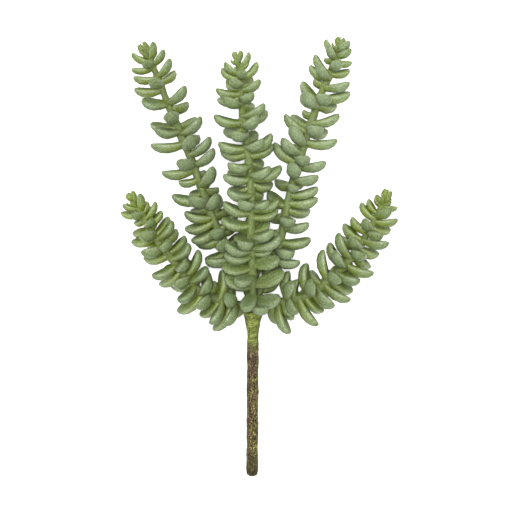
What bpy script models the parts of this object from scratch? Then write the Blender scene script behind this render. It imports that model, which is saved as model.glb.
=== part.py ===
"""A sedum spray lying on its back: a bare stem with a flared collar, and five leafy branches in its sockets.

Metres, +Z up. The surface that it lies on is z = 0, and +Y runs from the stem's cut end towards the
branch tips. Lengths are typed in millimetres and carried into metres by MM.
"""

import math

import bmesh
import bpy
import numpy as np
from mathutils import Vector

MM = 0.001
SURFACE = np.array([0.0, 0.0, 1.0])

# The stem, from its cut end up to the mouth of its collar
STEM_END = np.array([-4.4, -140.0, 3.2]) * MM
STEM_MOUTH = np.array([-3.8, -34.0, 17.0]) * MM
STEM_RADIUS = 3.75 * MM
COLLAR_RADIUS = 6.5 * MM
COLLAR_HEIGHT = 13.0 * MM
COLLAR_EDGE = 0.8 * MM
STEM_END_ROUND = 2.4 * MM
STEM_SIDES = 16
STEM_RINGS = 14

# The five sockets in the mouth, and the twig ends that stand in them
SOCKET_RING = 3.3 * MM
SOCKET_RADIUS = 1.7 * MM
SOCKET_DEPTH = 3.0 * MM
SOCKET_SIDES = 12
CLEARANCE = 0.3 * MM

# The twigs, full past their first few millimetres and slimmer over their last stretch
TWIG_ROOT_RADIUS = 1.4 * MM
TWIG_RADIUS = 2.4 * MM
TWIG_TIP_RADIUS = 1.7 * MM
TWIG_SWELL = 12.0 * MM
TWIG_TAPER = 60.0 * MM
TWIG_STEP = 10.0 * MM

# A full-grown leaf, the smallest one at a branch's tip, and the leaves of the tip bud
LEAF_LENGTH = 18.8 * MM
LEAF_WIDTH = 10.0 * MM
LEAF_THICKNESS = 7.8 * MM
LEAF_ROOT = 0.46
LEAF_FULLEST = 1.25
LEAF_BLUNT = 0.5
LEAF_YOUNG = 0.62
BUD_LEAVES = 4
BUD_LENGTH = 7.8 * MM
BUD_SIZE = 0.42
BUD_TURN = 137.5

# A faceted leaf: its four corners round it, in degrees from one rim over the upper face, its rings as
# shares of its length, and how far the corners are set out so that it encloses as much as the round leaf
LEAF_CORNERS = np.radians([20, 160, 236, 304])
LEAF_RINGS = np.array([0.22, 0.58, 0.88])
FACET_SWELL = 1.13

# Corners nearer than this are one corner after the leaves are fused
WELD = 0.004 * MM

# The last stretch of a branch, where its leaves are still growing
GROWTH_STRETCH = 40 * MM

# Each branch: its socket's angle round the mouth, how far its leaves bend towards their tips and how far
# the side ones roll to face the light, all in degrees; its way beyond the mouth in mm; and its leaves as
# (mm from the mouth, turn round the twig from straight up, tilt from the twig's direction, length in mm)
BRANCHES = {
    "centre_branch": (
        90, 46, 30,
        [(-4.0, -20.5, 22), (-4.5, -6.5, 26), (-5.0, 11.0, 29), (-5.0, 27.0, 29), (-5.0, 39.5, 28),
         (-6.0, 54.5, 26), (-7.5, 69.5, 24), (-10.0, 86.0, 21), (-11.5, 103.0, 17.5),
         (-12.0, 116.0, 14), (-13.5, 126.5, 10.5)],
        [(7, 27, 100, 19), (8, 56, 83, 21), (12.5, -21, 112, 19), (16.5, -88, 66, 19), (18, 90, 69, 22),
         (24, 174, 82, 19), (24.5, -34, 88, 19), (25, -157, 52, 12), (29.5, -88, 86, 19),
         (31.5, 73, 76, 19), (37, -65, 84, 19), (38, 161, 96, 19), (39, -163, 61, 16), (39, 98, 82, 14),
         (41, -49, 75, 22), (42.5, 65, 71, 22), (46, 110, 72, 19), (47, -123, 83, 13),
         (47, -22, 92, 19), (49.5, 47, 80, 19), (52, 129, 63, 16.5), (53, -159, 78, 19),
         (55, 178, 50, 12), (56, -81, 78, 19.5), (61.5, 110, 74, 19), (64, -73, 72, 19.5),
         (66.5, 96, 71, 19), (69.5, 47, 89, 15), (71, -18, 98, 19), (75.5, -52, 86, 19),
         (76.5, 164, 84, 19), (80, -130, 85, 19), (82, 132, 84, 19), (86, -63, 86, 19),
         (86, 94, 74, 22), (89, 42, 90, 19), (90, -132, 79, 19), (94, -42, 91, 19), (95, 156, 77, 19),
         (100.5, 116, 68, 19), (101.5, -122, 71, 21.5), (103.5, 84, 63, 19), (105.5, -79, 75, 19),
         (107, 29, 95, 19), (110, 162, 62, 19), (115, -22, 98, 19), (117.5, -137, 75, 19),
         (120.5, 28, 90, 19), (122, -78, 72, 19.5), (123.5, 118, 70, 19), (126.5, 52, 80, 18.5),
         (133, 161, 74, 18), (134.5, -39, 87, 17.5), (138.5, -108, 86, 16.5), (138.5, 26, 98, 16.5),
         (141, -79, 80, 16.5), (143, 60, 74, 15.5), (143.5, -134, 51, 15.5), (146, 147, 52, 14.5),
         (147, -23, 94, 14.5), (150.5, -97, 55, 15), (150.5, 86, 46, 16), (153, 10, 98, 13),
         (153.5, -59, 55, 13), (158, 60, 48, 12)],
    ),
    "upper_left_branch": (
        234, 34, 12,
        [(-7.0, -22.0, 15), (-11.5, -11.0, 15), (-17.0, 1.5, 15.5), (-23.5, 12.5, 16),
         (-29.0, 24.5, 16), (-34.5, 38.5, 16.5), (-40.0, 54.5, 16.5), (-45.5, 68.5, 16),
         (-52.0, 83.5, 15.5), (-58.0, 98.0, 14.5), (-64.0, 113.5, 12.5), (-69.0, 125.0, 10),
         (-73.0, 132.0, 8.5)],
        [(10, 166, 62, 18), (18, 178, 49, 18.5), (26, 165, 51, 16), (31, -133, 66, 12.5),
         (34, 127, 63, 17), (36, -72, 72, 19), (41, -122, 80, 19), (44.5, -9, 76, 19),
         (45, 144, 86, 19), (46.5, -154, 85, 12), (50, -119, 74, 19), (53, 143, 77, 19),
         (54, -8, 84, 19), (55.5, 92, 64, 17.5), (56, -165, 72, 17.5), (57, -81, 92, 19),
         (62, -98, 82, 20), (64.5, -80, 58, 18.5), (66, 144, 89, 19), (67, 144, 54, 16.5),
         (71.5, -143, 85, 19), (71.5, 23, 72, 19), (74.5, -30, 68, 19), (77, -97, 64, 22),
         (81, -152, 77, 15), (83, 138, 98, 15), (84.5, 158, 59, 18.5), (86, 43, 63, 19),
         (90.5, -98, 80, 13), (93, 154, 82, 9.5), (97.5, -98, 76, 22), (100, 59, 77, 19),
         (100.5, -24, 78, 19), (107, 62, 76, 19), (112.5, 20, 78, 19), (115, -83, 70, 22),
         (118, 149, 96, 19), (121.5, 59, 79, 19), (123.5, -48, 72, 19), (126, -115, 59, 19),
         (126.5, 141, 83, 19), (132.5, -4, 85, 19), (139, 141, 86, 19), (142.5, -58, 70, 18.5),
         (143, 53, 78, 18.5), (152, -96, 67, 18.5), (156, -17, 88, 16), (157, 128, 70, 16),
         (160, -95, 65, 16), (160.5, 61, 63, 15), (167.5, -94, 69, 14.5), (169, 62, 67, 13),
         (169.5, -21, 88, 12.5), (171, -88, 38, 14), (173, 55, 45, 12)],
    ),
    "upper_right_branch": (
        306, 34, 12,
        [(0.5, -22.0, 15), (5.0, -11.0, 15), (10.0, 1.0, 15.5), (14.0, 12.5, 16), (16.0, 24.0, 16),
         (19.5, 39.5, 16.5), (23.5, 54.5, 16.5), (28.5, 71.0, 16), (33.0, 85.0, 15.5),
         (38.5, 101.5, 14.5), (44.5, 115.5, 12.5), (49.0, 127.5, 10), (51.0, 135.5, 8.5)],
        [(14, 149, 56, 17.5), (22, 177, 63, 15.5), (25, 138, 58, 12), (31, -178, 58, 18),
         (35.5, 61, 78, 19), (38.5, -151, 73, 11.5), (42, 29, 87, 19), (42, 146, 83, 19),
         (46.5, 82, 68, 20), (48, -102, 98, 19), (54, -147, 98, 19), (56.5, 60, 78, 19),
         (63, 11, 95, 19), (64, -149, 98, 19), (68, 128, 84, 19), (69.5, -129, 70, 19),
         (72, 82, 69, 19.5), (77, 81, 62, 19), (82.5, 7, 89, 11.5), (83.5, -150, 87, 19),
         (86, 142, 94, 9.5), (87.5, 50, 74, 19), (90.5, -9, 74, 19), (96, 71, 68, 19),
         (98, -106, 66, 21), (101, 9, 88, 19), (104, -53, 74, 19), (109, -155, 93, 13),
         (110.5, -37, 65, 19), (112, 81, 70, 21), (118.5, -86, 71, 19), (119, 141, 73, 19),
         (121, 18, 87, 19), (122, -137, 74, 19), (124.5, 78, 56, 19), (130, -146, 84, 11.5),
         (135.5, -32, 75, 19), (137, -141, 75, 19), (137, 141, 73, 19), (140, -125, 61, 19),
         (141.5, 14, 89, 18.5), (142, 96, 59, 20), (149, 64, 62, 17.5), (150.5, -147, 76, 13.5),
         (155, -114, 72, 16), (155, -34, 78, 16), (158, -93, 56, 16), (158.5, 122, 54, 15),
         (162, 13, 76, 14), (167.5, 120, 69, 13), (168, -141, 86, 10), (168.5, -36, 66, 12.5),
         (170.5, 45, 64, 12.5), (171, -91, 47, 13), (174, 31, 60, 12)],
    ),
    "lower_left_branch": (
        162, 34, 25,
        [(-9.5, -30.5, 17.5), (-17.0, -29.0, 16), (-26.5, -26.5, 15), (-37.0, -22.0, 15),
         (-45.5, -13.0, 15), (-53.5, -3.0, 14.5), (-63.0, 9.0, 13.5), (-70.5, 20.0, 12),
         (-76.0, 29.5, 10), (-80.5, 37.0, 8.5)],
        [(7, -152, 59, 19), (11, -47, 83, 19), (13, 10, 82, 19), (14, -96, 70, 21.5), (17, 147, 81, 19),
         (18.5, -143, 68, 16.5), (20, -60, 83, 19), (21.5, -106, 58, 17), (22, 89, 77, 19),
         (29.5, -168, 52, 18), (29.5, -26, 80, 19), (30, 108, 55, 18), (30, 143, 93, 15),
         (33, -99, 69, 20.5), (35, 27, 89, 19), (35.5, -142, 54, 11.5), (39.5, 162, 57, 17),
         (40.5, -47, 93, 19), (42.5, -133, 63, 17), (45, 49, 95, 19), (47.5, -24, 87, 19),
         (47.5, 159, 58, 18.5), (48.5, 77, 67, 19), (53, -119, 83, 19), (56, -134, 63, 11.5),
         (57, 16, 98, 19), (58, -65, 81, 19), (61.5, 144, 98, 15), (63, 52, 94, 19), (66, -126, 61, 19),
         (66.5, 125, 81, 19), (72, -42, 77, 18.5), (72.5, -157, 46, 18), (73.5, 14, 98, 18.5),
         (75, 133, 83, 18), (78.5, 59, 83, 17.5), (80, -111, 66, 17), (81, 118, 69, 17),
         (82, -22, 83, 16.5), (85.5, 153, 50, 15.5), (86, -132, 69, 15.5), (89, 84, 78, 13),
         (90, 13, 98, 14.5), (93, -144, 72, 11), (93, 70, 66, 14), (93.5, 146, 53, 13.5),
         (96.5, -24, 86, 13), (96.5, 103, 47, 9.5), (97, -92, 55, 13.5), (97.5, 171, 41, 12),
         (98.5, 44, 41, 12.5), (101, -69, 47, 10.5)],
    ),
    "lower_right_branch": (
        18, 34, 15,
        [(2.5, -30.5, 17.5), (11.0, -29.0, 16), (28.0, -25.0, 15), (38.5, -19.5, 15), (49.5, -10.0, 15),
         (58.0, -1.0, 14.5), (66.0, 10.5, 13.5), (72.5, 21.5, 12), (77.5, 31.5, 10), (80.5, 38.5, 8.5)],
        [(10, -172, 82, 17), (12, 138, 77, 19), (13, -165, 63, 11.5), (16, 81, 83, 21.5),
         (19, 78, 72, 12), (22, -39, 72, 19), (22, 139, 85, 19), (22.5, -98, 77, 19),
         (24.5, 21, 91, 19), (26, -82, 66, 13), (27, 134, 76, 12), (28.5, -155, 85, 17),
         (29.5, -177, 48, 18.5), (29.5, 81, 72, 21.5), (33.5, 122, 64, 17.5), (36, -81, 70, 20.5),
         (38, -18, 78, 19), (38, 170, 62, 12.5), (39, 103, 65, 17), (43, 41, 85, 19),
         (43.5, 142, 61, 11.5), (46, -145, 86, 19), (47.5, -172, 51, 17), (48, 74, 72, 20),
         (51.5, -81, 59, 20.5), (52, 120, 69, 19), (55, -173, 57, 12), (55.5, 4, 87, 19),
         (58.5, 50, 69, 19), (59.5, 136, 60, 17), (64.5, -174, 61, 17), (64.5, -113, 73, 19),
         (65.5, -34, 86, 19), (66.5, 80, 67, 19), (71.5, -72, 66, 19), (75.5, 135, 90, 19),
         (77, 12, 93, 19), (80, 135, 74, 18.5), (81.5, -140, 92, 18.5), (82, -21, 94, 18.5),
         (85, -117, 78, 18), (85.5, 61, 70, 18), (91, -119, 74, 16.5), (91.5, 30, 87, 16.5),
         (94, -20, 86, 16), (95, 121, 66, 15.5), (99, 75, 59, 15.5), (100.5, -94, 65, 14.5),
         (102.5, 26, 64, 13.5), (104.5, -118, 55, 13), (110, -147, 50, 12), (110.5, 119, 68, 12),
         (111, 151, 32, 9.5)],
    ),
}

# Leaves that roll further, so that they show their broad face: how far, by branch and mm from the mouth
BROADSIDE = {
    ("upper_left_branch", 142.5): 62,
    ("upper_left_branch", 123.5): 50,
    ("centre_branch", 31.5): 52,
    ("centre_branch", 18): 45,
    ("centre_branch", 8): 60,
    ("lower_right_branch", 22): 45,
}

COLOURS = {
    "stem": (0.19, 0.15, 0.075),
    "centre_branch": (0.21, 0.30, 0.15),
    "upper_left_branch": (0.21, 0.29, 0.15),
    "upper_right_branch": (0.24, 0.32, 0.17),
    "lower_left_branch": (0.22, 0.31, 0.11),
    "lower_right_branch": (0.24, 0.33, 0.13),
}


def unit(v):
    return v / np.linalg.norm(v)


def ease(low, high, x):
    """0 below low, 1 above high, and a smooth step between."""
    u = np.clip((x - low) / (high - low), 0.0, 1.0)
    return u * u * (3.0 - 2.0 * u)


def across(along):
    """The two directions square to a twig: sideways in the picture plane, and the one facing up."""
    side = unit(np.cross(along, SURFACE))
    return side, np.cross(side, along)


class Route:
    """A smooth line through a branch's points, cut into even half-millimetre steps."""

    def __init__(self, points, steps=40, even=0.5 * MM):
        p = np.array(points, float)
        p = np.vstack([2 * p[0] - p[1], p, 2 * p[-1] - p[-2]])
        t = np.linspace(0.0, 1.0, steps, endpoint=False)[:, None]
        runs = []
        for a, b, c, d in zip(p, p[1:], p[2:], p[3:]):
            cubic = 3 * b - a - 3 * c + d
            runs.append(0.5 * (2 * b + (c - a) * t + (2 * a - 5 * b + 4 * c - d) * t**2 + cubic * t**3))
        line = np.vstack(runs + [p[-2][None]])
        far = np.concatenate([[0.0], np.cumsum(np.linalg.norm(np.diff(line, axis=0), axis=1))])
        self.length = far[-1]
        self.far = np.linspace(0.0, self.length, int(self.length / even) + 1)
        self.points = np.stack([np.interp(self.far, far, line[:, k]) for k in range(3)], axis=1)
        self.along = np.gradient(self.points, axis=0)

    def at(self, far):
        """The point and the direction at a distance along the line."""
        point = np.array([np.interp(far, self.far, self.points[:, k]) for k in range(3)])
        along = np.array([np.interp(far, self.far, self.along[:, k]) for k in range(3)])
        return point, unit(along)


def leaf_profile(t):
    """Half width along a leaf, from its root at 0 to its blunt tip at 1, where the fullest place is 1."""
    body = np.abs(np.sin(np.pi * np.clip(t, 0.0, 1.0) ** LEAF_FULLEST)) ** LEAF_BLUNT
    return np.sqrt(body**2 + (LEAF_ROOT * (1.0 - t)) ** 2)


class Leaf:
    """One leaf. Its axis is an arc that leaves the twig at tilt + bend / 2 and bends towards the tip.

    turn is its angle round the twig from straight up, size scales its width and thickness, and roll turns
    its upper face towards the light, most for a leaf that stands out sideways.
    """

    UPPER, LOWER = 0.7, 1.25

    def __init__(self, root, along, turn, tilt, length, size, bend, roll):
        side, front = across(along)
        self.root, self.along, self.tilt, self.length, self.size = root, along, tilt, length, size
        self.bend, self.roll = bend, -roll * math.sin(turn)
        self.out = math.cos(turn) * front + math.sin(turn) * side

    def axis(self, t):
        """Points on the axis, and there the directions across the leaf and out of its upper face."""
        first = self.tilt + self.bend / 2
        angle = (first - self.bend * t)[..., None]
        scale = self.length / self.bend
        forward = scale * (math.sin(first) - np.sin(angle))
        outward = scale * (np.cos(angle) - math.cos(first))
        point = self.root + forward * self.along + outward * self.out
        up = np.sin(angle) * self.along - np.cos(angle) * self.out
        wide = np.cross(self.along, self.out)
        return point, math.cos(self.roll) * wide - math.sin(self.roll) * up, \
            math.cos(self.roll) * up + math.sin(self.roll) * wide

    def surface(self, t, around):
        """Points on the skin: a low half ellipse on the upper face and a full one under the leaf."""
        point, wide, up = self.axis(t)
        full = leaf_profile(t) * self.size
        deep = np.where(np.sin(around) > 0.0, self.UPPER, self.LOWER) * LEAF_THICKNESS / 2
        sideways = full * LEAF_WIDTH / 2 * np.cos(around)
        return point + sideways[..., None] * wide + (full * deep * np.sin(around))[..., None] * up


def stem_axis():
    return unit(STEM_MOUTH - STEM_END)


def socket_point(angle):
    """The middle of a socket's mouth, at an angle in degrees round the collar."""
    side, front = across(stem_axis())
    turn = math.radians(angle)
    return STEM_MOUTH + SOCKET_RING * (math.cos(turn) * side + math.sin(turn) * front)


def branch_routes():
    routes = {}
    for name, (angle, _, _, way, _) in BRANCHES.items():
        mouth = socket_point(angle)
        foot = mouth - stem_axis() * (SOCKET_DEPTH - CLEARANCE)
        clear = mouth + stem_axis() * 1.2 * MM
        routes[name] = Route([foot, clear] + [np.array(p) * MM for p in way])
    return routes


def grown_leaves(name, route):
    """A branch's leaves from its table, the younger and shorter ones slimmer, and those of its tip bud."""
    _, bend, usual_roll, _, table = BRANCHES[name]
    bend = math.radians(bend)
    leaves = []
    for station, turn, tilt, length in table:
        far = SOCKET_DEPTH + station * MM
        root, along = route.at(far)
        growth = LEAF_YOUNG + (1.0 - LEAF_YOUNG) * ease(0.0, GROWTH_STRETCH, route.length - far)
        size = growth * (1 + min(length * MM / (LEAF_LENGTH * growth), 1.1)) / 2
        roll = math.radians(BROADSIDE.get((name, station), usual_roll))
        turn, tilt = math.radians(turn), math.radians(tilt)
        leaves.append(Leaf(root, along, turn, tilt, length * MM, size, bend, roll))
    for k in range(BUD_LEAVES):
        root, along = route.at(route.length - (2.2 - 0.5 * k) * MM)
        turn, tilt = math.radians(40 + BUD_TURN * k), math.radians(30 - 4 * k)
        leaves.append(Leaf(root, along, turn, tilt, BUD_LENGTH - 0.6 * MM * k, BUD_SIZE, bend, 0.0))
    return leaves


def material(name, colour, roughness):
    finish = bpy.data.materials.new(name)
    finish.use_nodes = True
    shader = finish.node_tree.nodes["Principled BSDF"]
    shader.inputs["Base Color"].default_value = (*colour, 1.0)
    shader.inputs["Roughness"].default_value = roughness
    shader.inputs["Metallic"].default_value = 0.0
    return finish


def add_object(name, mesh, collection):
    obj = bpy.data.objects.new(name, mesh)
    collection.objects.link(obj)
    return obj


def twig_object(name, route, collection):
    """A tube along the route, thin in its socket, fullest past it and slimmer towards the tip."""
    count = int(route.length / TWIG_STEP)
    stations = np.concatenate([[0.0], SOCKET_DEPTH + np.array([0.6, 3.0]) * MM,
                               np.linspace(SOCKET_DEPTH + 6 * MM, route.length - 1.5 * MM, count),
                               [route.length]])
    grown = ease(SOCKET_DEPTH + 1 * MM, SOCKET_DEPTH + TWIG_SWELL, stations)
    old = ease(0.0, TWIG_TAPER, route.length - stations)
    full = TWIG_TIP_RADIUS + (TWIG_RADIUS - TWIG_TIP_RADIUS) * old
    radii = TWIG_ROOT_RADIUS + (full - TWIG_ROOT_RADIUS) * grown
    radii[-1] *= 0.4
    curve = bpy.data.curves.new(name, "CURVE")
    curve.dimensions = "3D"
    curve.bevel_depth = 1.0 * MM
    curve.bevel_resolution = 1
    curve.use_fill_caps = True
    spline = curve.splines.new("POLY")
    spline.points.add(len(stations) - 1)
    for point, far, radius in zip(spline.points, stations, radii):
        point.co = (*route.at(far)[0], 1.0)
        point.radius = radius / MM
    tube = add_object(name + "_curve", curve, collection)
    bpy.context.view_layer.update()
    mesh = bpy.data.meshes.new_from_object(tube.evaluated_get(bpy.context.evaluated_depsgraph_get()))
    bm = bmesh.new()
    bm.from_mesh(mesh)
    bmesh.ops.remove_doubles(bm, verts=bm.verts, dist=0.01 * MM)
    bm.to_mesh(mesh)
    bm.free()
    twig = add_object(name, mesh, collection)
    twig.matrix_world = tube.matrix_world
    bpy.data.objects.remove(tube)
    return twig


def leaf_object(name, leaf, collection):
    """A faceted leaf: rings of four corners across its axis, with a point closing either end."""
    t, around = np.meshgrid(LEAF_RINGS, LEAF_CORNERS, indexing="ij")
    middle = leaf.axis(t)[0]
    skin = middle + FACET_SWELL * (leaf.surface(t, around) - middle)
    root, tip = leaf.axis(np.array([0.0, 1.0]))[0]
    bm = bmesh.new()
    rings = [[bm.verts.new(place) for place in ring] for ring in skin]
    ends = [bm.verts.new(root), bm.verts.new(tip)]
    count = len(LEAF_CORNERS)
    for k in range(count):
        beside = (k + 1) % count
        bm.faces.new((ends[0], rings[0][beside], rings[0][k]))
        bm.faces.new((ends[1], rings[-1][k], rings[-1][beside]))
        for low, high in zip(rings, rings[1:]):
            bm.faces.new((low[k], low[beside], high[beside], high[k]))
    bmesh.ops.recalc_face_normals(bm, faces=bm.faces)
    mesh = bpy.data.meshes.new(name)
    bm.to_mesh(mesh)
    bm.free()
    return add_object(name, mesh, collection)


def keep_outer_skin(mesh):
    """Drops the small closed skins that fusing leaves inside the branch, which fills those hollows."""
    bm = bmesh.new()
    bm.from_mesh(mesh)
    bmesh.ops.remove_doubles(bm, verts=bm.verts, dist=WELD)
    bmesh.ops.dissolve_degenerate(bm, edges=bm.edges, dist=WELD)
    unseen = set(bm.faces)
    skins = []
    while unseen:
        edge_of_skin = [unseen.pop()]
        skin = list(edge_of_skin)
        while edge_of_skin:
            for edge in edge_of_skin.pop().edges:
                for face in edge.link_faces:
                    if face in unseen:
                        unseen.remove(face)
                        edge_of_skin.append(face)
                        skin.append(face)
        skins.append(skin)
    skins.sort(key=len)
    for skin in skins[:-1]:
        bmesh.ops.delete(bm, geom=skin, context="FACES")
    bm.to_mesh(mesh)
    bm.free()


def fuse(twig, pieces):
    """One union of the twig with all its leaves, applied, with the leaf objects then removed."""
    union = twig.modifiers.new("leaves", "BOOLEAN")
    union.operation = "UNION"
    union.operand_type = "COLLECTION"
    union.collection = pieces
    union.solver = "EXACT"
    bpy.context.view_layer.update()
    mesh = bpy.data.meshes.new_from_object(twig.evaluated_get(bpy.context.evaluated_depsgraph_get()))
    twig.modifiers.remove(union)
    twig.data = mesh
    for obj in list(pieces.objects):
        bpy.data.objects.remove(obj)
    bpy.data.collections.remove(pieces)
    keep_outer_skin(mesh)


def rest_on_surface(obj, block):
    """Presses small flat spots where the object meets the surface."""
    press = obj.modifiers.new("flat_spots", "BOOLEAN")
    press.operation = "DIFFERENCE"
    press.object = block
    press.solver = "EXACT"


def surface_block(cutters):
    bpy.ops.mesh.primitive_cube_add(size=1.0, location=(0.0, 0.0, -10 * MM))
    block = bpy.context.object
    block.name = "surface_cutter"
    block.scale = (400 * MM, 400 * MM, 20 * MM)
    move_to(block, cutters)
    hide_cutter(block)
    return block


def move_to(obj, collection):
    for old in list(obj.users_collection):
        old.objects.unlink(obj)
    collection.objects.link(obj)


def hide_cutter(obj):
    obj.hide_render = True
    obj.display_type = "WIRE"


def stem_object(parts):
    """The bare stem: an uneven round rod with a rounded cut end and a collar that flares at its top."""
    length = np.linalg.norm(STEM_MOUTH - STEM_END)
    down = np.linspace(COLLAR_EDGE, length - STEM_END_ROUND, STEM_RINGS)
    flare = np.clip(1.0 - down / COLLAR_HEIGHT, 0.0, 1.0) ** 1.15
    uneven = 0.13 * MM * np.sin(2 * math.pi * down / (23 * MM)) + 0.09 * MM * np.sin(down / (1.6 * MM) + 1.0)
    radius = STEM_RADIUS + (COLLAR_RADIUS - STEM_RADIUS) * flare + uneven * (1.0 - flare)
    rim = COLLAR_RADIUS - COLLAR_EDGE / 2
    profile = [(0.0, length), (rim, length)] + [(r, length - d) for r, d in zip(radius, down)]
    end_radius = radius[-1]
    for angle in (30, 60):
        turn = math.radians(angle)
        profile.append((end_radius * math.cos(turn), STEM_END_ROUND * (1.0 - math.sin(turn))))
    profile.append((0.0, 0.0))
    mesh = bpy.data.meshes.new("stem")
    edges = [(i, i + 1) for i in range(len(profile) - 1)]
    mesh.from_pydata([(x, 0.0, z) for x, z in profile], edges, [])
    stem = add_object("stem", mesh, parts)
    screw = stem.modifiers.new("turn", "SCREW")
    screw.angle = 2 * math.pi
    screw.steps = STEM_SIDES
    screw.render_steps = STEM_SIDES
    screw.use_merge_vertices = True
    screw.merge_threshold = 0.01 * MM
    stem.location = STEM_END
    stem.rotation_euler = Vector(stem_axis()).to_track_quat("Z", "Y").to_euler()
    return stem


def cut_sockets(stem, cutters):
    """Five plain round holes in the collar's mouth, one for each branch."""
    tools = bpy.data.collections.new("socket_cutters")
    cutters.children.link(tools)
    for name, (angle, _, _, _, _) in BRANCHES.items():
        depth = SOCKET_DEPTH * 2
        bpy.ops.mesh.primitive_cylinder_add(vertices=SOCKET_SIDES, radius=SOCKET_RADIUS, depth=depth)
        hole = bpy.context.object
        hole.name = "socket_for_" + name
        hole.location = socket_point(angle)
        hole.rotation_euler = stem.rotation_euler
        move_to(hole, tools)
        hide_cutter(hole)
    cut = stem.modifiers.new("sockets", "BOOLEAN")
    cut.operation = "DIFFERENCE"
    cut.operand_type = "COLLECTION"
    cut.collection = tools
    cut.solver = "EXACT"


def branch_object(name, route, leaves, parts):
    twig = twig_object(name, route, parts)
    pieces = bpy.data.collections.new(name + "_leaves")
    bpy.context.scene.collection.children.link(pieces)
    for k, leaf in enumerate(leaves):
        leaf_object(f"{name}_leaf_{k}", leaf, pieces)
    fuse(twig, pieces)
    twig.data.shade_smooth()
    twig.data.set_sharp_from_angle(angle=math.radians(50))
    return twig


def main():
    for obj in list(bpy.data.objects):
        bpy.data.objects.remove(obj)
    parts = bpy.data.collections.new("sedum_spray")
    cutters = bpy.data.collections.new("cutters")
    bpy.context.scene.collection.children.link(parts)
    bpy.context.scene.collection.children.link(cutters)
    block = surface_block(cutters)
    stem = stem_object(parts)
    cut_sockets(stem, cutters)
    pieces = [stem]
    routes = branch_routes()
    for name, route in routes.items():
        pieces.append(branch_object(name, route, grown_leaves(name, route), parts))
    for obj in pieces:
        obj.data.materials.clear()
        obj.data.materials.append(material(obj.name, COLOURS[obj.name], 0.5))
        rest_on_surface(obj, block)


main()
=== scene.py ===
import math

import bpy
import numpy as np
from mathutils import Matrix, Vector


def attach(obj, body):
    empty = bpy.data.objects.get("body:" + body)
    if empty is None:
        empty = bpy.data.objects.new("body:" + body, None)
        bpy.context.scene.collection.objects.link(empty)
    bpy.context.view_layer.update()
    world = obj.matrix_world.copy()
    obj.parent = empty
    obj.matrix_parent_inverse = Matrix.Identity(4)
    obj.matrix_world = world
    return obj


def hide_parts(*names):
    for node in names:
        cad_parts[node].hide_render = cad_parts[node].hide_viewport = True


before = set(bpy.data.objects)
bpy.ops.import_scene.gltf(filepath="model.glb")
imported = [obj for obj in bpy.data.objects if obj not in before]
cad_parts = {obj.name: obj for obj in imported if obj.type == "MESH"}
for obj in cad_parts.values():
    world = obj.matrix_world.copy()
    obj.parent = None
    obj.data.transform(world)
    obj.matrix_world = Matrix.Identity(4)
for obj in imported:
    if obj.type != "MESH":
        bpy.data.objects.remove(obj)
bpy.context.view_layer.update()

# A sedum spray on its back, seen from straight above: a bare stem with a flared collar, and five leafy
# branches. Metres, +Z up; the surface that it lies on is z = 0, and +Y runs towards the branch tips.
# The sizes, the branches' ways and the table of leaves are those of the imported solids, so every smooth
# leaf lies where its faceted one does.

MM = 0.001
SEED = 7
SURFACE = np.array([0.0, 0.0, 1.0])

# The stem, from its cut end up to the mouth of its collar
STEM_END = np.array([-4.4, -140.0, 3.2]) * MM
STEM_MOUTH = np.array([-3.8, -34.0, 17.0]) * MM
STEM_RADIUS = 3.75 * MM
COLLAR_RADIUS = 6.5 * MM
COLLAR_HEIGHT = 13.0 * MM
COLLAR_EDGE = 0.8 * MM
STEM_END_ROUND = 2.4 * MM

# The five sockets in the mouth, the twig ends that stand in them, and how far those run on past the mouth
SOCKET_RING = 3.3 * MM
SOCKET_DEPTH = 3.0 * MM
CLEARANCE = 0.3 * MM
TWIG_PAST_MOUTH = 1.2 * MM

# The twigs, full past their first few millimetres and slimmer over their last stretch
TWIG_ROOT_RADIUS = 1.4 * MM
TWIG_RADIUS = 2.4 * MM
TWIG_TIP_RADIUS = 1.7 * MM
TWIG_SWELL = 12.0 * MM
TWIG_TAPER = 60.0 * MM

# A full-grown leaf, and the smallest one at a branch's tip. A leaf's width follows its length, up to
# LEAF_LONGEST times the length that is usual at its place
LEAF_LENGTH = 18.8 * MM
LEAF_WIDTH = 10.0 * MM
LEAF_THICKNESS = 7.8 * MM
LEAF_ROOT = 0.46
LEAF_FULLEST = 1.25
LEAF_BLUNT = 0.5
LEAF_YOUNG = 0.62
LEAF_LONGEST = 1.1

# The leaves of the tip bud. The first grows BUD_FOOT below the twig's tip, and each one after it grows
# BUD_STEP higher, BUD_SHORTER shorter, BUD_TURN degrees further round and BUD_STEEPER degrees steeper
BUD_LEAVES = 4
BUD_FOOT = 2.2 * MM
BUD_STEP = 0.5 * MM
BUD_LENGTH = 7.8 * MM
BUD_SHORTER = 0.6 * MM
BUD_SIZE = 0.42
BUD_FIRST_TURN = 40
BUD_TURN = 137.5
BUD_TILT = 30
BUD_STEEPER = 4

# The last stretch of a branch, where its leaves are still growing
GROWTH_STRETCH = 40 * MM

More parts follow.
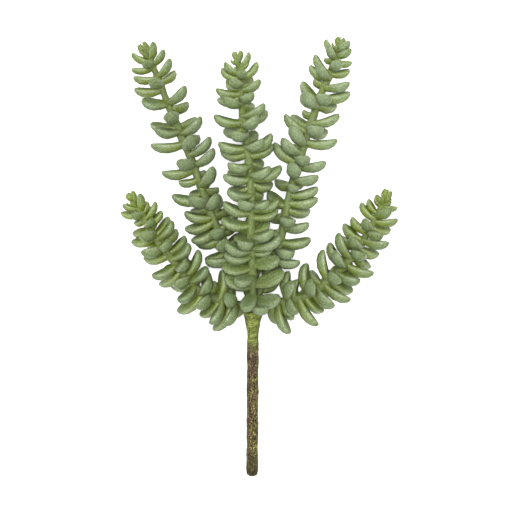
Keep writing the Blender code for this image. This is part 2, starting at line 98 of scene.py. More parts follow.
# Each branch: its socket's angle round the mouth, how far its leaves bend towards their tips and how far
# the side ones roll to face the light, all in degrees; its way beyond the mouth in mm; and its leaves as
# (mm from the mouth, turn round the twig from straight up, tilt from the twig's direction, length in mm).
# The leaves' rows were worked out beforehand, outside this script: for those in view from where root and
# tip were read on the photograph, and for those behind by a seeded draw
BRANCHES = {
    "centre_branch": (
        90, 46, 30,
        [(-4.0, -20.5, 22), (-4.5, -6.5, 26), (-5.0, 11.0, 29), (-5.0, 27.0, 29), (-5.0, 39.5, 28),
         (-6.0, 54.5, 26), (-7.5, 69.5, 24), (-10.0, 86.0, 21), (-11.5, 103.0, 17.5),
         (-12.0, 116.0, 14), (-13.5, 126.5, 10.5)],
        [(7, 27, 100, 19), (8, 56, 83, 21), (12.5, -21, 112, 19), (16.5, -88, 66, 19), (18, 90, 69, 22),
         (24, 174, 82, 19), (24.5, -34, 88, 19), (25, -157, 52, 12), (29.5, -88, 86, 19),
         (31.5, 73, 76, 19), (37, -65, 84, 19), (38, 161, 96, 19), (39, -163, 61, 16), (39, 98, 82, 14),
         (41, -49, 75, 22), (42.5, 65, 71, 22), (46, 110, 72, 19), (47, -123, 83, 13),
         (47, -22, 92, 19), (49.5, 47, 80, 19), (52, 129, 63, 16.5), (53, -159, 78, 19),
         (55, 178, 50, 12), (56, -81, 78, 19.5), (61.5, 110, 74, 19), (64, -73, 72, 19.5),
         (66.5, 96, 71, 19), (69.5, 47, 89, 15), (71, -18, 98, 19), (75.5, -52, 86, 19),
         (76.5, 164, 84, 19), (80, -130, 85, 19), (82, 132, 84, 19), (86, -63, 86, 19),
         (86, 94, 74, 22), (89, 42, 90, 19), (90, -132, 79, 19), (94, -42, 91, 19), (95, 156, 77, 19),
         (100.5, 116, 68, 19), (101.5, -122, 71, 21.5), (103.5, 84, 63, 19), (105.5, -79, 75, 19),
         (107, 29, 95, 19), (110, 162, 62, 19), (115, -22, 98, 19), (117.5, -137, 75, 19),
         (120.5, 28, 90, 19), (122, -78, 72, 19.5), (123.5, 118, 70, 19), (126.5, 52, 80, 18.5),
         (133, 161, 74, 18), (134.5, -39, 87, 17.5), (138.5, -108, 86, 16.5), (138.5, 26, 98, 16.5),
         (141, -79, 80, 16.5), (143, 60, 74, 15.5), (143.5, -134, 51, 15.5), (146, 147, 52, 14.5),
         (147, -23, 94, 14.5), (150.5, -97, 55, 15), (150.5, 86, 46, 16), (153, 10, 98, 13),
         (153.5, -59, 55, 13), (158, 60, 48, 12)],
    ),
    "upper_left_branch": (
        234, 34, 12,
        [(-7.0, -22.0, 15), (-11.5, -11.0, 15), (-17.0, 1.5, 15.5), (-23.5, 12.5, 16),
         (-29.0, 24.5, 16), (-34.5, 38.5, 16.5), (-40.0, 54.5, 16.5), (-45.5, 68.5, 16),
         (-52.0, 83.5, 15.5), (-58.0, 98.0, 14.5), (-64.0, 113.5, 12.5), (-69.0, 125.0, 10),
         (-73.0, 132.0, 8.5)],
        [(10, 166, 62, 18), (18, 178, 49, 18.5), (26, 165, 51, 16), (31, -133, 66, 12.5),
         (34, 127, 63, 17), (36, -72, 72, 19), (41, -122, 80, 19), (44.5, -9, 76, 19),
         (45, 144, 86, 19), (46.5, -154, 85, 12), (50, -119, 74, 19), (53, 143, 77, 19),
         (54, -8, 84, 19), (55.5, 92, 64, 17.5), (56, -165, 72, 17.5), (57, -81, 92, 19),
         (62, -98, 82, 20), (64.5, -80, 58, 18.5), (66, 144, 89, 19), (67, 144, 54, 16.5),
         (71.5, -143, 85, 19), (71.5, 23, 72, 19), (74.5, -30, 68, 19), (77, -97, 64, 22),
         (81, -152, 77, 15), (83, 138, 98, 15), (84.5, 158, 59, 18.5), (86, 43, 63, 19),
         (90.5, -98, 80, 13), (93, 154, 82, 9.5), (97.5, -98, 76, 22), (100, 59, 77, 19),
         (100.5, -24, 78, 19), (107, 62, 76, 19), (112.5, 20, 78, 19), (115, -83, 70, 22),
         (118, 149, 96, 19), (121.5, 59, 79, 19), (123.5, -48, 72, 19), (126, -115, 59, 19),
         (126.5, 141, 83, 19), (132.5, -4, 85, 19), (139, 141, 86, 19), (142.5, -58, 70, 18.5),
         (143, 53, 78, 18.5), (152, -96, 67, 18.5), (156, -17, 88, 16), (157, 128, 70, 16),
         (160, -95, 65, 16), (160.5, 61, 63, 15), (167.5, -94, 69, 14.5), (169, 62, 67, 13),
         (169.5, -21, 88, 12.5), (171, -88, 38, 14), (173, 55, 45, 12)],
    ),
    "upper_right_branch": (
        306, 34, 12,
        [(0.5, -22.0, 15), (5.0, -11.0, 15), (10.0, 1.0, 15.5), (14.0, 12.5, 16), (16.0, 24.0, 16),
         (19.5, 39.5, 16.5), (23.5, 54.5, 16.5), (28.5, 71.0, 16), (33.0, 85.0, 15.5),
         (38.5, 101.5, 14.5), (44.5, 115.5, 12.5), (49.0, 127.5, 10), (51.0, 135.5, 8.5)],
        [(14, 149, 56, 17.5), (22, 177, 63, 15.5), (25, 138, 58, 12), (31, -178, 58, 18),
         (35.5, 61, 78, 19), (38.5, -151, 73, 11.5), (42, 29, 87, 19), (42, 146, 83, 19),
         (46.5, 82, 68, 20), (48, -102, 98, 19), (54, -147, 98, 19), (56.5, 60, 78, 19),
         (63, 11, 95, 19), (64, -149, 98, 19), (68, 128, 84, 19), (69.5, -129, 70, 19),
         (72, 82, 69, 19.5), (77, 81, 62, 19), (82.5, 7, 89, 11.5), (83.5, -150, 87, 19),
         (86, 142, 94, 9.5), (87.5, 50, 74, 19), (90.5, -9, 74, 19), (96, 71, 68, 19),
         (98, -106, 66, 21), (101, 9, 88, 19), (104, -53, 74, 19), (109, -155, 93, 13),
         (110.5, -37, 65, 19), (112, 81, 70, 21), (118.5, -86, 71, 19), (119, 141, 73, 19),
         (121, 18, 87, 19), (122, -137, 74, 19), (124.5, 78, 56, 19), (130, -146, 84, 11.5),
         (135.5, -32, 75, 19), (137, -141, 75, 19), (137, 141, 73, 19), (140, -125, 61, 19),
         (141.5, 14, 89, 18.5), (142, 96, 59, 20), (149, 64, 62, 17.5), (150.5, -147, 76, 13.5),
         (155, -114, 72, 16), (155, -34, 78, 16), (158, -93, 56, 16), (158.5, 122, 54, 15),
         (162, 13, 76, 14), (167.5, 120, 69, 13), (168, -141, 86, 10), (168.5, -36, 66, 12.5),
         (170.5, 45, 64, 12.5), (171, -91, 47, 13), (174, 31, 60, 12)],
    ),
    "lower_left_branch": (
        162, 34, 25,
        [(-9.5, -30.5, 17.5), (-17.0, -29.0, 16), (-26.5, -26.5, 15), (-37.0, -22.0, 15),
         (-45.5, -13.0, 15), (-53.5, -3.0, 14.5), (-63.0, 9.0, 13.5), (-70.5, 20.0, 12),
         (-76.0, 29.5, 10), (-80.5, 37.0, 8.5)],
        [(7, -152, 59, 19), (11, -47, 83, 19), (13, 10, 82, 19), (14, -96, 70, 21.5), (17, 147, 81, 19),
         (18.5, -143, 68, 16.5), (20, -60, 83, 19), (21.5, -106, 58, 17), (22, 89, 77, 19),
         (29.5, -168, 52, 18), (29.5, -26, 80, 19), (30, 108, 55, 18), (30, 143, 93, 15),
         (33, -99, 69, 20.5), (35, 27, 89, 19), (35.5, -142, 54, 11.5), (39.5, 162, 57, 17),
         (40.5, -47, 93, 19), (42.5, -133, 63, 17), (45, 49, 95, 19), (47.5, -24, 87, 19),
         (47.5, 159, 58, 18.5), (48.5, 77, 67, 19), (53, -119, 83, 19), (56, -134, 63, 11.5),
         (57, 16, 98, 19), (58, -65, 81, 19), (61.5, 144, 98, 15), (63, 52, 94, 19), (66, -126, 61, 19),
         (66.5, 125, 81, 19), (72, -42, 77, 18.5), (72.5, -157, 46, 18), (73.5, 14, 98, 18.5),
         (75, 133, 83, 18), (78.5, 59, 83, 17.5), (80, -111, 66, 17), (81, 118, 69, 17),
         (82, -22, 83, 16.5), (85.5, 153, 50, 15.5), (86, -132, 69, 15.5), (89, 84, 78, 13),
         (90, 13, 98, 14.5), (93, -144, 72, 11), (93, 70, 66, 14), (93.5, 146, 53, 13.5),
         (96.5, -24, 86, 13), (96.5, 103, 47, 9.5), (97, -92, 55, 13.5), (97.5, 171, 41, 12),
         (98.5, 44, 41, 12.5), (101, -69, 47, 10.5)],
    ),
    "lower_right_branch": (
        18, 34, 15,
        [(2.5, -30.5, 17.5), (11.0, -29.0, 16), (28.0, -25.0, 15), (38.5, -19.5, 15), (49.5, -10.0, 15),
         (58.0, -1.0, 14.5), (66.0, 10.5, 13.5), (72.5, 21.5, 12), (77.5, 31.5, 10), (80.5, 38.5, 8.5)],
        [(10, -172, 82, 17), (12, 138, 77, 19), (13, -165, 63, 11.5), (16, 81, 83, 21.5),
         (19, 78, 72, 12), (22, -39, 72, 19), (22, 139, 85, 19), (22.5, -98, 77, 19),
         (24.5, 21, 91, 19), (26, -82, 66, 13), (27, 134, 76, 12), (28.5, -155, 85, 17),
         (29.5, -177, 48, 18.5), (29.5, 81, 72, 21.5), (33.5, 122, 64, 17.5), (36, -81, 70, 20.5),
         (38, -18, 78, 19), (38, 170, 62, 12.5), (39, 103, 65, 17), (43, 41, 85, 19),
         (43.5, 142, 61, 11.5), (46, -145, 86, 19), (47.5, -172, 51, 17), (48, 74, 72, 20),
         (51.5, -81, 59, 20.5), (52, 120, 69, 19), (55, -173, 57, 12), (55.5, 4, 87, 19),
         (58.5, 50, 69, 19), (59.5, 136, 60, 17), (64.5, -174, 61, 17), (64.5, -113, 73, 19),
         (65.5, -34, 86, 19), (66.5, 80, 67, 19), (71.5, -72, 66, 19), (75.5, 135, 90, 19),
         (77, 12, 93, 19), (80, 135, 74, 18.5), (81.5, -140, 92, 18.5), (82, -21, 94, 18.5),
         (85, -117, 78, 18), (85.5, 61, 70, 18), (91, -119, 74, 16.5), (91.5, 30, 87, 16.5),
         (94, -20, 86, 16), (95, 121, 66, 15.5), (99, 75, 59, 15.5), (100.5, -94, 65, 14.5),
         (102.5, 26, 64, 13.5), (104.5, -118, 55, 13), (110, -147, 50, 12), (110.5, 119, 68, 12),
         (111, 151, 32, 9.5)],
    ),
}

# Leaves that roll further, so that they show their broad face: how far, by branch and mm from the mouth
BROADSIDE = {
    ("upper_left_branch", 142.5): 62,
    ("upper_left_branch", 123.5): 50,
    ("centre_branch", 31.5): 52,
    ("centre_branch", 18): 45,
    ("centre_branch", 8): 60,
    ("lower_right_branch", 22): 45,
}

# A leaf's rings, as shares of its length, and the places round it, in degrees from one rim over its
# upper face to the other and back underneath
LEAF_ROWS = np.array([0.03, 0.13, 0.30, 0.50, 0.69, 0.85, 0.96])
LEAF_COLUMNS = np.radians([0, 24, 52, 90, 128, 156, 180, 218, 250, 290, 322])

# Columns and rows of the twigs' and the stem's skins
TWIG_COLUMNS = 16
TWIG_ROW = 1.1 * MM
STEM_COLUMNS = 72
STEM_ROW = 0.7 * MM

# What a smooth leaf adds to the solid's form: a shallow channel down its upper face, a fairing where it
# leaves the twig, and small bends and lumps of its own
CHANNEL = 0.74
CHANNEL_REACH = 0.62
FAIRING = 0.30
FAIRING_PLACE = 0.06
FAIRING_REACH = 0.07
SICKLE = 0.05
TWIST = math.radians(14)
LUMPS = 0.035
LUMP_WAVES = 1.6

# The lowest that any skin lies above the surface
LIFT = 0.06 * MM

# What a smooth twig adds: knots where its leaves grow, and how far its round end stands out
KNOT = 0.28 * MM
KNOT_REACH = 2.0 * MM
TWIG_END = 0.5 * TWIG_TIP_RADIUS

# What a smooth stem adds: ridges and dents in the bark, and the shallow cup in the collar's mouth. The
# sideways sway of the collar's own ridges is only in the pattern
BARK_RIDGES = 0.055 * MM
BARK_DENTS = 0.10 * MM
CUP_DEPTH = 1.6 * MM
BAND_SWAY = 0.54 * MM

# How much of the true length the pattern's own length is, along a leaf, a twig and the stem, so that its
# blobs are drawn out into streaks
LEAF_DRAWN = 0.30
TWIG_DRAWN = 0.35
STEM_DRAWN = 0.40

# The finer leaves in each tip bud: how many, and their width beside a full-grown leaf's
FINE_BUD_LEAVES = {
    "centre_branch": (10, 0.34),
    "upper_left_branch": (15, 0.25),
    "upper_right_branch": (10, 0.32),
    "lower_left_branch": (11, 0.30),
    "lower_right_branch": (12, 0.29),
}

# They start FINE_FOOT below the twig's tip and climb FINE_CLIMB, and over that climb they grow shorter,
# slimmer and steeper
FINE_FOOT = 8.0 * MM
FINE_CLIMB = 8.6 * MM
FINE_LENGTH = 8.4 * MM
FINE_SHORTER = 3.0 * MM
FINE_SLIMMER = 0.3
FINE_FIRST_TURN = 65
FINE_TILT = 60
FINE_STEEPER = 42

# The hair-thin points that stand out of the bud, each one shorter and leaning further than the last
BUD_POINTS = 4
POINT_LENGTH = 6.6 * MM
POINT_SHORTER = 0.3 * MM
POINT_SIZE = 0.10
POINT_FIRST_TURN = 75
POINT_TILT = 14
POINT_LEAN = 5

# How young a bud's leaves count as, where a branch's youngest leaf is 1
BUD_YOUNG = 2.0

# The last stretch of a branch, where its leaves and its twig are yellower
YOUNG_STRETCH = 60 * MM
TWIG_YOUNG_STRETCH = 70 * MM

# The first stretch from the mouth, painted darker as shade: the centre branch's leaves, the other branches'
# leaves, and twigs
CENTRE_MOUTH_SHADE_STRETCH = 85 * MM
MOUTH_SHADE_STRETCH = 30 * MM
TWIG_MOUTH_SHADE_STRETCH = 55 * MM

# The photograph's frame: 512 pixels across, the pixel that the origin falls on, and a pixel's real size at
# SPRAY_HEIGHT. The camera stands CAMERA_HEIGHT above that
FRAME_PIXELS = 512
ORIGIN_PIXEL = (259.0, 257.5)
PIXEL = 0.635 * MM
SPRAY_HEIGHT = 15 * MM
CAMERA_HEIGHT = 1.6
CAMERA_SENSOR = 36.0

# The studio: light from all round, then each soft light's place, width and power, all aimed at one point
ROUND_LIGHT = 1.75
SOFT_LIGHTS = {
    "front_light": ((0.0, 0.02, 1.8), 0.25, 46.0),
    "key_light": ((-0.45, 0.75, 1.9), 0.8, 26.0),
}
LIGHTS_AIM = (0.0, 0.0, 0.02)
FLOOR_HALF = 4.0
FLOOR_PATCHES = 0.3

# Each branch's finish: how much bloom, how yellow its young parts are, how glossy it is, and its lightness
BRANCH_FINISH = {
    "centre_branch": (0.82, 0.42, 0.28, 1.05),
    "upper_left_branch": (0.72, 0.75, 0.25, 0.79),
    "upper_right_branch": (0.98, 0.50, 0.22, 1.03),
    "lower_left_branch": (0.48, 1.00, 0.50, 0.90),
    "lower_right_branch": (0.53, 0.95, 0.42, 0.86),
}

# How far every colour of the spray below is deepened, to suit the bright studio
PIGMENT = 0.65

# Leaf skin. A pair is the range from leaf to leaf, or from branch to branch
LEAF_GREENS = ((0.087, 0.134, 0.028), (0.111, 0.164, 0.038))
LEAF_YELLOWS = ((0.128, 0.173, 0.021), (0.168, 0.220, 0.010))
BLOOM = (0.188, 0.240, 0.134)
CHANNEL_KEEL_SHADE = (0.062, 0.086, 0.012)
RIM_AND_HIGHLIGHT = (0.300, 0.340, 0.220)
LEAF_PORES = (0.046, 0.068, 0.012)
WAX_SPECKS = (0.250, 0.305, 0.185)
LEAF_MOUTH_SHADE = (0.030, 0.042, 0.010)
LEAF_TIP_SHADE = (0.060, 0.074, 0.022)
LEAF_PAINTED_SHADE = (0.060, 0.092, 0.030)

# Twig skin, from the older stretch to the young one
TWIG_GREENS = ((0.086, 0.122, 0.030), (0.126, 0.164, 0.022))
KNOT_GREEN = (0.128, 0.166, 0.024)
TWIG_BLOOM = (0.128, 0.164, 0.078)
TWIG_STREAKS = (0.044, 0.062, 0.014)
TWIG_MOUTH_SHADE = (0.042, 0.056, 0.016)

# Bark, whose browns run from purple to olive, and the collar, from its grooves, darkened as painted shade, to
# its ridges
BARK_BROWNS = ((0.056, 0.032, 0.016), (0.054, 0.045, 0.007))
BARK_LIGHT = (0.152, 0.114, 0.052)
BARK_FLECKS = (0.252, 0.244, 0.066)
BARK_PITS = (0.008, 0.005, 0.002)
BARK_CUT_END = (0.010, 0.007, 0.001)
COLLAR_GROOVE_SHADE_TO_GREEN = ((0.056, 0.068, 0.012), (0.126, 0.150, 0.026))
COLLAR_CREST_HIGHLIGHTS = (0.200, 0.225, 0.060)
COLLAR_PITS = (0.040, 0.044, 0.006)
COLLAR_RIGHT_LINE = (0.050, 0.030, 0.010)

FLOOR_TONES = ((0.79, 0.79, 0.79), (0.81, 0.81, 0.81))


def unit(v):
    return v / np.linalg.norm(v)


def ease(low, high, x):
    """0 below low, 1 above high, and a smooth step between."""
    u = np.clip((x - low) / (high - low), 0.0, 1.0)
    return u * u * (3.0 - 2.0 * u)


def across(along):
    """The two directions square to a twig: sideways in the picture plane, and the one facing up."""
    side = unit(np.cross(along, SURFACE))
    return side, np.cross(side, along)


class Route:
    """A smooth line through a branch's points, cut into even half-millimetre steps."""

    def __init__(self, points, steps=40, even=0.5 * MM):
        p = np.array(points, float)
        p = np.vstack([2 * p[0] - p[1], p, 2 * p[-1] - p[-2]])
        t = np.linspace(0.0, 1.0, steps, endpoint=False)[:, None]
        runs = []
        for a, b, c, d in zip(p, p[1:], p[2:], p[3:]):
            cubic = 3 * b - a - 3 * c + d
            runs.append(0.5 * (2 * b + (c - a) * t + (2 * a - 5 * b + 4 * c - d) * t**2 + cubic * t**3))
        line = np.vstack(runs + [p[-2][None]])
        far = np.concatenate([[0.0], np.cumsum(np.linalg.norm(np.diff(line, axis=0), axis=1))])
        self.length = far[-1]
        self.far = np.linspace(0.0, self.length, int(self.length / even) + 1)
        self.points = np.stack([np.interp(self.far, far, line[:, k]) for k in range(3)], axis=1)
        self.along = np.gradient(self.points, axis=0)

    def at(self, far):
        """The point and the direction at a distance along the line."""
        point = np.array([np.interp(far, self.far, self.points[:, k]) for k in range(3)])
        along = np.array([np.interp(far, self.far, self.along[:, k]) for k in range(3)])
        return point, unit(along)


def leaf_profile(t):
    """Half width along a leaf, from its root at 0 to its blunt tip at 1, where the fullest place is 1."""
    body = np.abs(np.sin(np.pi * np.clip(t, 0.0, 1.0) ** LEAF_FULLEST)) ** LEAF_BLUNT
    return np.sqrt(body**2 + (LEAF_ROOT * (1.0 - t)) ** 2)


class Leaf:
    """One leaf. Its axis is an arc that leaves the twig at tilt + bend / 2 and bends towards the tip.

    turn is its angle round the twig from straight up, size scales its width and thickness, and roll turns
    its upper face towards the light, most for a leaf that stands out sideways. UPPER and LOWER are how
    full it is above and below its axis, as shares of half LEAF_THICKNESS.
    """

    UPPER, LOWER = 0.7, 1.25

    def __init__(self, root, along, turn, tilt, length, size, bend, roll):
        side, front = across(along)
        self.root, self.along, self.tilt, self.length, self.size = root, along, tilt, length, size
        self.bend, self.roll = bend, -roll * math.sin(turn)
        self.out = math.cos(turn) * front + math.sin(turn) * side
        # How much the leaf faces up; its skin paints light and shade by this
        self.facing = math.cos(turn) * math.sin(tilt)

    def axis(self, t):
        """Points on the axis, and there the directions across the leaf and out of its upper face."""
        first = self.tilt + self.bend / 2
        angle = (first - self.bend * t)[..., None]
        scale = self.length / self.bend
        forward = scale * (math.sin(first) - np.sin(angle))
        outward = scale * (np.cos(angle) - math.cos(first))
        point = self.root + forward * self.along + outward * self.out
        up = np.sin(angle) * self.along - np.cos(angle) * self.out
        wide = np.cross(self.along, self.out)
        return point, math.cos(self.roll) * wide - math.sin(self.roll) * up, \
            math.cos(self.roll) * up + math.sin(self.roll) * wide


def stem_axis():
    return unit(STEM_MOUTH - STEM_END)


def socket_point(angle):
    """The middle of a socket's mouth, at an angle in degrees round the collar."""
    side, front = across(stem_axis())
    turn = math.radians(angle)
    return STEM_MOUTH + SOCKET_RING * (math.cos(turn) * side + math.sin(turn) * front)


def branch_routes():
    routes = {}
    for name, (angle, _, _, way, _) in BRANCHES.items():
        mouth = socket_point(angle)
        foot = mouth - stem_axis() * (SOCKET_DEPTH - CLEARANCE)
        clear = mouth + stem_axis() * TWIG_PAST_MOUTH
        routes[name] = Route([foot, clear] + [np.array(p) * MM for p in way])
    return routes


def grown_leaves(name, route):
    """A branch's leaves from its table, the younger and shorter ones slimmer, and those of its tip bud."""
    _, bend, usual_roll, _, table = BRANCHES[name]
    bend = math.radians(bend)
    mouth_shade_stretch = CENTRE_MOUTH_SHADE_STRETCH if name == "centre_branch" else MOUTH_SHADE_STRETCH
    leaves = []
    for station, turn, tilt, length in table:
        far = SOCKET_DEPTH + station * MM
        root, along = route.at(far)
        growth = LEAF_YOUNG + (1.0 - LEAF_YOUNG) * ease(0.0, GROWTH_STRETCH, route.length - far)
        size = growth * (1 + min(length * MM / (LEAF_LENGTH * growth), LEAF_LONGEST)) / 2
        roll = math.radians(BROADSIDE.get((name, station), usual_roll))
        turn, tilt = math.radians(turn), math.radians(tilt)
        leaves.append(Leaf(root, along, turn, tilt, length * MM, size, bend, roll))
        leaves[-1].young = float(1.0 - ease(0.0, YOUNG_STRETCH, route.length - far))
        leaves[-1].old = float(1.0 - ease(0.0, mouth_shade_stretch, far))
    for k in range(BUD_LEAVES):
        root, along = route.at(route.length - (BUD_FOOT - BUD_STEP * k))
        turn, tilt = math.radians(BUD_FIRST_TURN + BUD_TURN * k), math.radians(BUD_TILT - BUD_STEEPER * k)
        leaves.append(Leaf(root, along, turn, tilt, BUD_LENGTH - BUD_SHORTER * k, BUD_SIZE, bend, 0.0))
        leaves[-1].young, leaves[-1].old = BUD_YOUNG, 0.0
    return leaves


class Skins:
    """Closed skins gathered into one mesh. Each is a stack of rings with a point closing either end."""

    def __init__(self):
        self.places, self.faces, self.marks, self.count = [], [], {}, 0

    def add(self, rings, first, last, **marks):
        """rings is rows x columns x 3, and a mark is one value, or an array with a value for each place.

        Quads join each ring to the next and triangles close both ends. Where the skin's volume comes out
        below zero it is inside out, so its faces are turned round.
        """
        rows, columns = rings.shape[:2]
        places = np.vstack([rings.reshape(-1, 3), first, last])
        index = np.arange(rows * columns).reshape(rows, columns)
        beside = np.roll(index, -1, axis=1)
        quads = np.stack([index[:-1], index[1:], beside[1:], beside[:-1]], axis=-1).reshape(-1, 4)
        start = np.full(columns, rows * columns)
        caps = np.vstack([np.stack([start, index[0], beside[0]], axis=-1),
                          np.stack([start + 1, beside[-1], index[-1]], axis=-1)])
        a, b, c, d = (places[quads[:, k]] - places.mean(axis=0) for k in range(4))
        if np.sum(a * np.cross(b, c) + a * np.cross(c, d)) < 0.0:
            quads, caps = quads[:, ::-1], caps[:, ::-1]
        self.faces += (quads + self.count).tolist() + (caps + self.count).tolist()
        self.places.append(places)
        for name, value in marks.items():
            value = np.asarray(value, float)
            if value.ndim < 2:
                whole = np.broadcast_to(value, (len(places),) + value.shape)
            else:
                ends = value[[0, -1]].mean(axis=1)
                whole = np.concatenate([value.reshape((rows * columns,) + value.shape[2:]), ends])
            self.marks.setdefault(name, []).append(whole)
        self.count += len(places)

    def piece(self, name, finish):
        """The mesh object, smooth shaded, with each mark as an attribute on its points."""
        mesh = bpy.data.meshes.new(name)
        places = np.concatenate(self.places)
        places[:, 2] = np.maximum(places[:, 2], LIFT)
        mesh.from_pydata(places.tolist(), [], self.faces)
        for mark, parts in self.marks.items():
            values = np.concatenate(parts)
            kind, field = ("FLOAT", "value") if values.ndim == 1 else ("FLOAT_VECTOR", "vector")
            attribute = mesh.attributes.new(mark, kind, "POINT")
            attribute.data.foreach_set(field, values.astype(np.float32).ravel())
        mesh.materials.append(finish)
        mesh.shade_smooth()
        piece = bpy.data.objects.new(name, mesh)
        bpy.context.scene.collection.objects.link(piece)
        return piece


def add_leaf(skins, leaf, draw):
    """A leaf's smooth skin: rings across its bent axis, full below and low above.

    A ring's width follows the leaf's profile, with a fairing by the twig. The upper face sinks by a bell
    curve across the leaf, deepest half way along. The axis sways to one side with the square of the way
    along, the rings turn a little towards the tip, and slow sine waves make lumps.
    """
    t = LEAF_ROWS[:, None]
    around = LEAF_COLUMNS[None]
    sway, twist, lump, phase = draw.uniform(-1, 1, 4)
    point, wide, up = leaf.axis(t)
    full = leaf_profile(t) * leaf.size
    full = full * (1.0 + FAIRING * np.exp(-((t - FAIRING_PLACE) / FAIRING_REACH) ** 2))
    full = full * (1.0 + LUMPS * lump * np.sin(2 * np.pi * (LUMP_WAVES * t + phase)))
    angle = around + LUMPS * np.sin(2 * around + 3 * phase + 4 * t)
    high = np.sin(angle)
    sunk = 1.0 - CHANNEL * np.exp(-(np.cos(angle) / CHANNEL_REACH) ** 2) * np.sin(np.pi * t) ** 0.5
    deep = np.where(high > 0.0, leaf.UPPER * sunk, leaf.LOWER) * LEAF_THICKNESS / 2
    sideways = full * LEAF_WIDTH / 2 * np.cos(angle)
    upwards = full * deep * high
    turned = TWIST * twist * t
    across_it = sideways * np.cos(turned) - upwards * np.sin(turned)
    above_it = sideways * np.sin(turned) + upwards * np.cos(turned)
    swayed = SICKLE * sway * leaf.length * t**2
    rings = point + (across_it + swayed)[..., None] * wide + above_it[..., None] * up
    ends, end_wide, _ = leaf.axis(np.array([0.0, 1.0]))
    tip = ends[1] + SICKLE * sway * leaf.length * end_wide[1]
    own_place = draw.uniform(-1, 1, 3)
    drawn_out = LEAF_DRAWN * leaf.length * (t + 0.0 * around)
    grain = np.stack([sideways, upwards, drawn_out], axis=-1) + own_place
    skins.add(rings, ends[0], tip, along=t + 0.0 * around, edge=np.abs(np.cos(around)) + 0.0 * t,
              upper=0.5 + 0.5 * high + 0.0 * t, tone=draw.uniform(0.0, 1.0),
              young=leaf.young, old=leaf.old, facing=leaf.facing, grain=grain)


def bud_extras(name, route):
    """The finer leaves in a tip bud, and the short thin points that stand out of it.

    The fine leaves wind up the twig's end, BUD_TURN degrees from one to the next. up is a leaf's share of
    the climb.
    """
    bend = math.radians(BRANCHES[name][1])
    count, wide = FINE_BUD_LEAVES[name]
    extras = []
    for k in range(count):
        up = k / (count - 1)
        root, along = route.at(route.length - (FINE_FOOT - FINE_CLIMB * up))
        turn, tilt = math.radians(FINE_FIRST_TURN + BUD_TURN * k), math.radians(FINE_TILT - FINE_STEEPER * up)
        length, size = FINE_LENGTH - FINE_SHORTER * up, wide * (1.0 - FINE_SLIMMER * up)
        extras.append(Leaf(root, along, turn, tilt, length, size, bend, 0.0))
    for k in range(BUD_POINTS):
        root, along = route.at(route.length)
        turn, tilt = math.radians(POINT_FIRST_TURN + BUD_TURN * k), math.radians(POINT_TILT + POINT_LEAN * k)
        extras.append(Leaf(root, along, turn, tilt, POINT_LENGTH - POINT_SHORTER * k, POINT_SIZE, bend, 0.0))
    for leaf in extras:
        leaf.young, leaf.old = BUD_YOUNG, 0.0
    return extras


def leaves_piece(name, branch, route, finish):
    leaves = grown_leaves(branch, route) + bud_extras(branch, route)
    draw = np.random.RandomState(SEED + len(leaves))
    skins = Skins()
    for leaf in leaves:
        add_leaf(skins, leaf, draw)
    return skins.piece(name, finish)


def twig_piece(name, route, table, finish):
    """A twig: rings along its route, with a bell-shaped knot at each leaf of the branch's table.

    Two slow sine waves wind round and along it, so that it is a little uneven.
    """
    rows = int(route.length / TWIG_ROW)
    far = np.linspace(0.0, route.length, rows)
    grown = ease(SOCKET_DEPTH + 1 * MM, SOCKET_DEPTH + TWIG_SWELL, far)
    filled = ease(0.0, TWIG_TAPER, route.length - far)
    full = TWIG_TIP_RADIUS + (TWIG_RADIUS - TWIG_TIP_RADIUS) * filled
    radius = TWIG_ROOT_RADIUS + (full - TWIG_ROOT_RADIUS) * grown
    stations = SOCKET_DEPTH + np.array([leaf[0] for leaf in table]) * MM
    knots = np.exp(-((far[:, None] - stations) / KNOT_REACH) ** 2).sum(axis=1)
    radius = radius + KNOT * knots * grown
    around = np.linspace(0.0, 2 * np.pi, TWIG_COLUMNS, endpoint=False)[None]
    uneven = 1.0 + 0.04 * np.sin(3 * around + far[:, None] / (4 * MM))
    uneven = uneven + 0.03 * np.sin(2 * around - far[:, None] / (7 * MM))
    centre = np.stack([np.interp(far, route.far, route.points[:, k]) for k in range(3)], axis=1)
    along = np.gradient(centre, axis=0)
    side = np.cross(along, SURFACE)
    side /= np.linalg.norm(side, axis=1, keepdims=True)
    front = np.cross(side, along)
    front /= np.linalg.norm(front, axis=1, keepdims=True)
    ring = np.cos(around)[..., None] * side[:, None] + np.sin(around)[..., None] * front[:, None]
    rings = centre[:, None] + (radius[:, None] * uneven)[..., None] * ring
    last = centre[-1] + unit(along[-1]) * TWIG_END
    skins = Skins()
    grain = np.stack([radius[:, None] * np.cos(around), radius[:, None] * np.sin(around),
                      TWIG_DRAWN * far[:, None] + 0.0 * around], axis=-1)
    young = 1.0 - ease(0.0, TWIG_YOUNG_STRETCH, route.length - far)
    # Share of painted shade over the twig's first stretch by the mouth
    old = 1.0 - ease(0.0, TWIG_MOUTH_SHADE_STRETCH, far)
    skins.add(rings, centre[0], last, grain=grain, knot=np.minimum(knots, 1.0)[:, None] + 0.0 * around,
              young=young[:, None] + 0.0 * around, old=old[:, None] + 0.0 * around)
    return skins.piece(name, finish)


